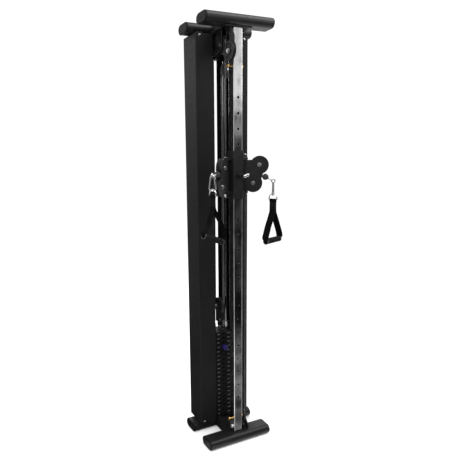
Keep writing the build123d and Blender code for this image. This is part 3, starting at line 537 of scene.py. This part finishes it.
def strap_path(side):
    """The webbing's centre line in (along, up) metres about the grip's centre, as a closed loop."""
    centre, axis, _, _ = handle_planes(side)
    bar = bar_height(side) - centre.z
    tilt = math.asin(-axis.z)
    half = GRIP_LENGTH / 2

    def by_end(sign, out, up):
        out, up = out / 1000, up / 1000
        x = sign * (half + out)
        return x * math.cos(tilt) + up * math.sin(tilt), -x * math.sin(tilt) + up * math.cos(tilt)

    split = SPLIT_SHARE * bar
    gap = WEB_THICK * 0.52
    neck = [(0.0, bar + 0.0046), (0.0040, bar + 0.0028), (0.0046, bar - 0.002), (gap, bar - 0.012),
            (gap, split + 0.020), (gap + 0.0010, split + 0.002)]
    leg = [(-14, 61), (1.5, 24), (3.0, 9), (2.6, 1.5), (-1.5, 0)]
    loop = neck + [by_end(1, *place) for place in leg]
    loop += [by_end(-1, *place) for place in reversed(leg)]
    loop += [(-x, z) for x, z in reversed(neck)]
    return rounded(loop, 0.018, 6), split, bar


def bar_height(side):
    """Height of the straight bar of the D-ring."""
    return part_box(side + "_d_ring")[0].z + RING_WIRE_R


def build_strap(side):
    """Sewn webbing: a closed ribbon with rounded edges, its width drawn in where it enters the grip."""
    centre, axis, along, across = handle_planes(side)
    path, split, bar = strap_path(side)
    path = resample(path, 0.004)[:-1]
    tilt = math.asin(-axis.z)
    section = [(-1.0, -0.25), (-1.0, 0.25), (-0.94, 0.5), (-0.5, 0.5), (0.0, 0.5), (0.5, 0.5), (0.94, 0.5),
               (1.0, 0.25), (1.0, -0.25), (0.94, -0.5), (0.5, -0.5), (0.0, -0.5), (-0.5, -0.5), (-0.94, -0.5)]
    points, uvs, rings = [], [], []
    run, before = 0.0, Vector(path[-1])
    for i, (s, z) in enumerate(path):
        tangent = (Vector(path[(i + 1) % len(path)]) - Vector(path[i - 1])).normalized()
        normal = Vector((tangent.y, -tangent.x))
        here = Vector((s, z))
        run += (here - before).length
        before = here
        off_axis = min(1.0, abs(z * math.cos(tilt) + s * math.sin(tilt)) / 0.016)
        width = WEB_WIDTH / 2 * (0.50 + 0.50 * off_axis ** 2 * (3 - 2 * off_axis))
        free = min(1.0, max(0.0, split - z) / 0.03) * off_axis
        wave = WAVE_HEIGHT * math.sin(run * WAVE_PER_M + PHASE[side]) * free
        rings.append(list(range(len(points), len(points) + len(section))))
        for w, t in section:
            flat = here + normal * (t * WEB_THICK + wave + STRAP_CROWN * free * (1 - w * w))
            points.append(centre + along * flat.x + UP * flat.y + across * (w * width))
            uvs.append((run, w * width + t * WEB_THICK))
    faces = skin(rings, len(section), True)
    strap = piece(side + "_webbing", [(points, faces)], side + "_handle", "webbing_black",
                  keep_sharp=60, uvs=uvs)
    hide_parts(side + "_strap")
    build_stitches(side, centre, along, across, split, bar)


def build_stitches(side, centre, along, across, split, bar):
    """A box-and-cross seam through both layers of the neck, on both faces."""
    width, low, high = WEB_WIDTH * 0.40, split + 0.016, bar - 0.014
    lines = [((-width, low), (width, low)), ((-width, high), (width, high)), ((-width, low), (-width, high)),
             ((width, low), (width, high)), ((-width, low), (width, high)), ((-width, high), (width, low))]
    parts = []
    for face in (-1, 1):
        for start, end in lines:
            start, end = Vector(start), Vector(end)
            count = max(3, int((end - start).length / STITCH_PITCH))
            for i in range(count):
                a, b = start.lerp(end, (i + 0.14) / count), start.lerp(end, (i + 0.86) / count)
                ends = []
                for p, lift in ((a, 0.0), (a.lerp(b, 0.3), STITCH_RISE),
                                (a.lerp(b, 0.7), STITCH_RISE), (b, 0.0)):
                    out = face * (WEB_THICK * 1.02 + lift)
                    ends.append(centre + along * out + across * p.x + UP * p.y)
                parts.append(tube(ends, STITCH_R, 5))
    piece(side + "_stitches", parts, side + "_handle", "webbing_black", THREAD)


def build_grip(side):
    """A ribbed rubber sleeve between two moulded end collars."""
    centre, axis, _, _ = handle_planes(side)
    half = GRIP_LENGTH / 2
    collar = COLLAR_LENGTH
    profile = [(GRIP_BORE_R, -half + collar), (GRIP_R - 0.0012, -half + collar)]
    length = GRIP_LENGTH - 2 * collar
    for i in range(GRIP_RIBS):
        base = -half + collar + length * i / GRIP_RIBS
        pitch = length / GRIP_RIBS
        for share, depth in ((0.06, 0.0010), (0.20, 0.0003), (0.5, 0.0), (0.80, 0.0003), (0.94, 0.0010)):
            swell = 0.0006 * math.cos(math.pi * (base + pitch * share) / GRIP_LENGTH)
            profile.append((GRIP_R - 0.0006 - depth + swell, base + pitch * share))
    profile += [(GRIP_R - 0.0012, half - collar), (GRIP_BORE_R, half - collar)]
    grip = piece(side + "_grip_sleeve", [lathe(profile, centre, axis, 48, close=True)], side + "_grip",
                 "grip_rubber", keep_sharp=70)
    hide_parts(side + "_grip")
    collars = []
    for sign in (-1, 1):
        rim = [(GRIP_BORE_R, half), (0.0142, half + 0.0004), (GRIP_R + 0.0006, half - 0.0006),
               (GRIP_R + 0.0009, half - 0.0022), (GRIP_R + 0.0009, half - 0.0052),
               (GRIP_R + 0.0002, half - collar), (GRIP_BORE_R, half - collar)]
        collars.append(lathe(rim, centre, axis * sign, 48, close=True))
    piece(side + "_grip_collars", collars, side + "_grip", "cap_black", COLLAR)


def build_ball(side):
    """Two moulded rubber halves with a parting groove, a crimped sleeve and a wire eye."""
    eye, swing_axis = joint_place(side + "_carabiner_swing")
    ball = ball_middle(side)
    direction = (eye - ball).normalized()
    steps, profile = 26, []
    for i in range(steps + 1):
        a = math.pi * i / steps
        r, h = BALL_R * math.sin(a), -BALL_R * math.cos(a)
        if abs(i - steps / 2) < 1:
            r -= PARTING_GROOVE
        profile.append((0 if i in (0, steps) else r, h))
    body = side + "_cable_end"
    shape = piece(side + "_stop_ball", [lathe(profile, ball, direction, 44)], body, "rubber_black",
                  keep_sharp=50)
    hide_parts(side + "_ball_stop")
    reach = (eye - ball).length
    sleeve = [(0.0030, BALL_R - 0.001)]
    step = (reach - CRIMP_END - BALL_R) / CRIMP_COUNT
    for i in range(CRIMP_COUNT):
        base = BALL_R + step * i
        sleeve += [(0.0038, base + step * 0.1), (0.0044, base + step * 0.3), (0.0044, base + step * 0.7),
                   (0.0038, base + step * 0.9)]
    sleeve += [(0.0028, reach - 0.008), (0, reach - 0.0078)]
    piece(side + "_crimp", [lathe(sleeve, ball, direction, 28)], body, "zinc")
    x, y = direction, swing_axis.cross(direction).normalized()
    ring = arc_points(eye, x, y, WIRE_EYE_R, 0, 360, 48)[:-1]
    groove = arc_points(eye, x, y, 0.0062, 0, 360, 48)[:-1]
    piece(side + "_wire_eye", [tube(ring, RING_WIRE_R * 0.92, 14, closed=True),
                               tube(groove, 0.0008, 8, closed=True)], body, "chrome")


def ball_middle(side):
    """Centre of the stop's ball: the ball is the part of the node nearest the bracket."""
    node = frame["nodes"][side + "_ball_stop"].data
    eye = joint_place(side + "_carabiner_swing")[0]
    pull = Vector(JOINTS[side + "_pull"]["axis"]).normalized()
    lowest = min(v.co.dot(pull) for v in node.vertices)
    near = [v.co for v in node.vertices if v.co.dot(pull) < lowest + 2 * BALL_R * 0.9]
    z = (max(v.z for v in near) + min(v.z for v in near)) / 2
    flat = eye - pull * (eye.dot(pull) - lowest - BALL_R)
    return Vector((flat.x, flat.y, z))


def build_gate_rivet(side):
    """A rivet through the gate's foot."""
    foot, hinge = joint_place(side + "_gate_hinge")
    rivet = [(0, -0.0044), (0.0016, -0.0044), (0.0021, -0.0040),
             (0.0021, 0.0040), (0.0016, 0.0044), (0, 0.0044)]
    piece(side + "_gate_rivet", [lathe(rivet, foot + UP * RIVET_RISE, hinge, 20)], side + "_gate", "zinc")


# ---------------------------------------------------------------- cables that change length
def straight_cable(name, start, end):
    """A cable run with rings only at its two ends, drawn straight between them."""
    return piece(name, [tube([start, end], CABLE_R, 16)], None, "cable_black", keep_sharp=50)


def build_stretch_cables():
    """The upright runs between the frame's pulleys and the carriage or the stack."""
    runs = {"left_rise_cable": ("carriage", False), "right_rise_cable": ("carriage", True),
            "rear_fall_cable": ("stack", False), "front_fall_cable": ("stack", False)}
    for node, (body, moving_top) in runs.items():
        low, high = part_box(node)
        centre = (low + high) / 2
        bottom, top = Vector((centre.x, centre.y, low.z)), Vector((centre.x, centre.y, high.z))
        fixed, moving = (bottom, top) if moving_top else (top, bottom)
        run = straight_cable(node + "_run", fixed, moving)
        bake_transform(run)
        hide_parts(node)


def build_handle_cables():
    """The run over the inner pulley stays with the bracket; the last part runs straight from the pulley to the
    ball.
    """
    for side in SIDES:
        centre, _ = joint_place(side + "_inner_pulley_spin")
        pull = Vector(JOINTS[side + "_pull"]["axis"]).normalized()
        flip = 1 if side == "right" else -1
        up = UP * flip
        ball = ball_middle(side)
        local = ball - centre
        ds, dz = local.dot(pull), local.dot(up)
        reach = math.hypot(ds, dz)
        leave = math.degrees(math.atan2(dz, ds) + math.acos(PITCH_R / reach))
        low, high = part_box(side + "_handle_cable")
        start = centre - pull * PITCH_R
        start = Vector((start.x, start.y, low.z if flip > 0 else high.z))
        path = [start] + arc_points(centre, pull, up, PITCH_R, 180, leave, 22)
        off = path[-1]
        towards = (ball - off).normalized()
        overlap = towards * 0.002
        path.append(off + overlap)
        near = piece(side + "_pulley_run", [tube(path, CABLE_R, 16)], side + "_bracket", "cable_black")
        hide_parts(side + "_handle_cable")
        end = ball - towards * (BALL_R - 0.001)
        far = straight_cable(side + "_pull_run", off, end)
        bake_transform(far)


def build_handles():
    for side in SIDES:
        build_ball(side)
        build_gate_rivet(side)
        build_strap(side)
        build_grip(side)


# ---------------------------------------------------------------- studio
def look_along(yaw, pitch, roll):
    """Rotation of a camera that looks along a compass angle from +Y towards +X."""
    y, p, r = (math.radians(v) for v in (yaw, pitch, roll))
    ahead = Vector((math.sin(y) * math.cos(p), math.cos(y) * math.cos(p), -math.sin(p)))
    right = Vector((math.cos(y), -math.sin(y), 0))
    up = right.cross(ahead)
    right, up = right * math.cos(r) + up * math.sin(r), up * math.cos(r) - right * math.sin(r)
    return Matrix((right, up, -ahead)).transposed()


CAMERA_PLACE = (-1.2254, -1.9654, 1.5368)
CAMERA_TURN = (24.197, 10.044, -1.447)      # yaw, pitch down and roll, degrees
CAMERA_LENS, CAMERA_SENSOR, CAMERA_SHIFT = 35.30, 36.0, (0.119, 0.0222)


def build_camera():
    """The photograph's point of view; the shift places the machine left of the middle."""
    data = bpy.data.cameras.new("camera")
    data.lens, data.sensor_width = CAMERA_LENS, CAMERA_SENSOR
    data.shift_x, data.shift_y = CAMERA_SHIFT
    camera = bpy.data.objects.new("camera", data)
    camera.matrix_world = Matrix.Translation(CAMERA_PLACE) @ look_along(*CAMERA_TURN).to_4x4()
    bpy.context.scene.collection.objects.link(camera)
    bpy.context.scene.camera = camera


def area_light(name, place, target, size, power):
    data = bpy.data.lights.new(name, "AREA")
    data.shape, data.size, data.size_y, data.energy = "RECTANGLE", size[0], size[1], power
    obj = bpy.data.objects.new(name, data)
    direction = Vector(target) - Vector(place)
    obj.matrix_world = Matrix.Translation(place) @ direction.to_track_quat("-Z", "Y").to_matrix().to_4x4()
    bpy.context.scene.collection.objects.link(obj)


FLOOR_HALF = 60.0
ABOVE_FLOOR = 0.002                         # where the reflection cards that lie on the floor are
# the front reflection card's top and place; it paints a dark reflection into the column's chrome
FRONT_CARD_TOP, FRONT_CARD_Y = 1.885, -1.25
CLOUD_SCALE, CLOUD_DETAIL = 4.5, 1.5        # the noise that lights and darkens a reflection card
CLOUD_LEVELS = (("From Min", 0.40), ("From Max", 0.62), ("To Min", 0.35), ("To Max", 2.6))
WORLD_STRENGTH = 1.08                       # a little over white, so that the background stays clear


def card(name, corners, material):
    """A flat four-cornered object for the stage."""
    mesh = bpy.data.meshes.new(name)
    mesh.from_pydata(corners, [], [(0, 1, 2, 3)])
    mesh.materials.append(material)
    obj = bpy.data.objects.new(name, mesh)
    bpy.context.scene.collection.objects.link(obj)
    return obj


def build_floor():
    """A plain pale floor, wide enough to meet the pale background."""
    n = Nodes("studio_floor")
    n.link(n.ramp(n.noise(1.5, 3.0), grey(0.94), grey(0.97)), n.shader.inputs["Base Color"])
    n.bump(n.noise(40.0, 3.0), 0.02, 0.001)
    n.set(Roughness=0.8, Specular_IOR_Level=0.1)
    size = FLOOR_HALF
    floor = card("floor", [(-size, -size, 0), (size, -size, 0), (size, size, 0), (-size, size, 0)], n.mat)


def build_reflection_card(name, corners, low, high, start=0.0, end=1.0):
    """A glowing, dark, cloudy card that only reflections see: a painted reflection, which casts no shadow and
    lights nothing.

    Its tone is low up to the share start of its height, and high from the share end.
    """
    mat = bpy.data.materials.new(name)
    mat.use_nodes = True
    tree = mat.node_tree
    tree.nodes.clear()
    coords = tree.nodes.new("ShaderNodeTexCoord")
    split = tree.nodes.new("ShaderNodeSeparateXYZ")
    ramp = tree.nodes.new("ShaderNodeValToRGB")
    glow = tree.nodes.new("ShaderNodeEmission")
    out = tree.nodes.new("ShaderNodeOutputMaterial")
    ramp.color_ramp.elements[0].position, ramp.color_ramp.elements[0].color = start, grey(low)
    ramp.color_ramp.elements[1].position, ramp.color_ramp.elements[1].color = end, grey(high)
    tree.links.new(coords.outputs["Generated"], split.inputs["Vector"])
    tree.links.new(split.outputs["Z"], ramp.inputs["Fac"])
    cloud = tree.nodes.new("ShaderNodeTexNoise")
    cloud.inputs["Scale"].default_value, cloud.inputs["Detail"].default_value = CLOUD_SCALE, CLOUD_DETAIL
    tree.links.new(coords.outputs["Object"], cloud.inputs["Vector"])
    level = tree.nodes.new("ShaderNodeMapRange")
    level.interpolation_type = "SMOOTHSTEP"
    for key, value in CLOUD_LEVELS:
        level.inputs[key].default_value = value
    tree.links.new(cloud.outputs["Fac"], level.inputs["Value"])
    tree.links.new(level.outputs["Result"], glow.inputs["Strength"])
    tree.links.new(ramp.outputs["Color"], glow.inputs["Color"])
    tree.links.new(glow.outputs["Emission"], out.inputs["Surface"])
    flag = card(name, corners, mat)
    flag.visible_camera = flag.visible_shadow = flag.visible_diffuse = False
    flag.visible_transmission = flag.visible_volume_scatter = False


def standing_corners(x0, y0, x1, y1, top):
    """Corners of a card that stands on the floor between two places."""
    return [(x0, y0, 0.0), (x1, y1, 0.0), (x1, y1, top), (x0, y0, top)]


def lying_corners(x0, x1, y0, y1):
    """Corners of a card that lies just above the floor."""
    return [(x0, y0, ABOVE_FLOOR), (x1, y0, ABOVE_FLOOR), (x1, y1, ABOVE_FLOOR), (x0, y1, ABOVE_FLOOR)]


def build_reflection_cards():
    """Glowing cards that only reflections see paint dark, cloudy reflections onto the chrome and the dark coats:
    the floor cards a dark floor, the two standing cards a dark room that is lighter towards the top.
    """
    build_reflection_card("front_reflection_card", standing_corners(-2.4, FRONT_CARD_Y, 2.6, FRONT_CARD_Y, FRONT_CARD_TOP),
               0.028, 0.17, 0.90, 0.93)
    build_reflection_card("floor_reflection_card", lying_corners(-0.05, 1.6, FRONT_CARD_Y, -0.09), 0.12, 0.12)
    build_reflection_card("rear_reflection_card", standing_corners(-2.6, 1.1, -0.5, 2.2, 1.9), 0.06, 0.40, 0.45, 1.0)
    build_reflection_card("rear_floor_reflection_card", lying_corners(-2.4, -0.03, 0.03, 2.3), 0.06, 0.06)


def build_world():
    """Even white light from all round."""
    world = bpy.data.worlds.new("studio")
    world.use_nodes = True
    back = world.node_tree.nodes["Background"]
    back.inputs["Color"].default_value = (1.0, 1.0, 1.0, 1)
    back.inputs["Strength"].default_value = WORLD_STRENGTH
    bpy.context.scene.world = world


LIGHTS = (                   # name, place, target, size, watts
    ("key", (-2.4, -1.8, 4.2), (0, 0, 1.6), (2.0, 2.0), 110),
    ("side", (2.9, -1.5, 3.0), (0, 0, 2.0), (1.2, 1.6), 40),
    ("top", (1.2, -1.0, 3.9), (0, 0, 2.1), (1.2, 1.2), 30),
    ("back", (0.6, 3.4, 3.0), (0, 0, 1.2), (2.0, 2.0), 60),
)


def build_studio():
    build_floor()
    build_world()
    build_reflection_cards()
    for light in LIGHTS:
        area_light(*light)
    build_camera()
    bpy.context.scene.view_settings.view_transform = "Standard"


paint_frame()
build_pulleys()
build_bolt_details()
build_plate_pads()
build_yoke_caps()
build_handles()
build_stretch_cables()
build_handle_cables()
build_studio()
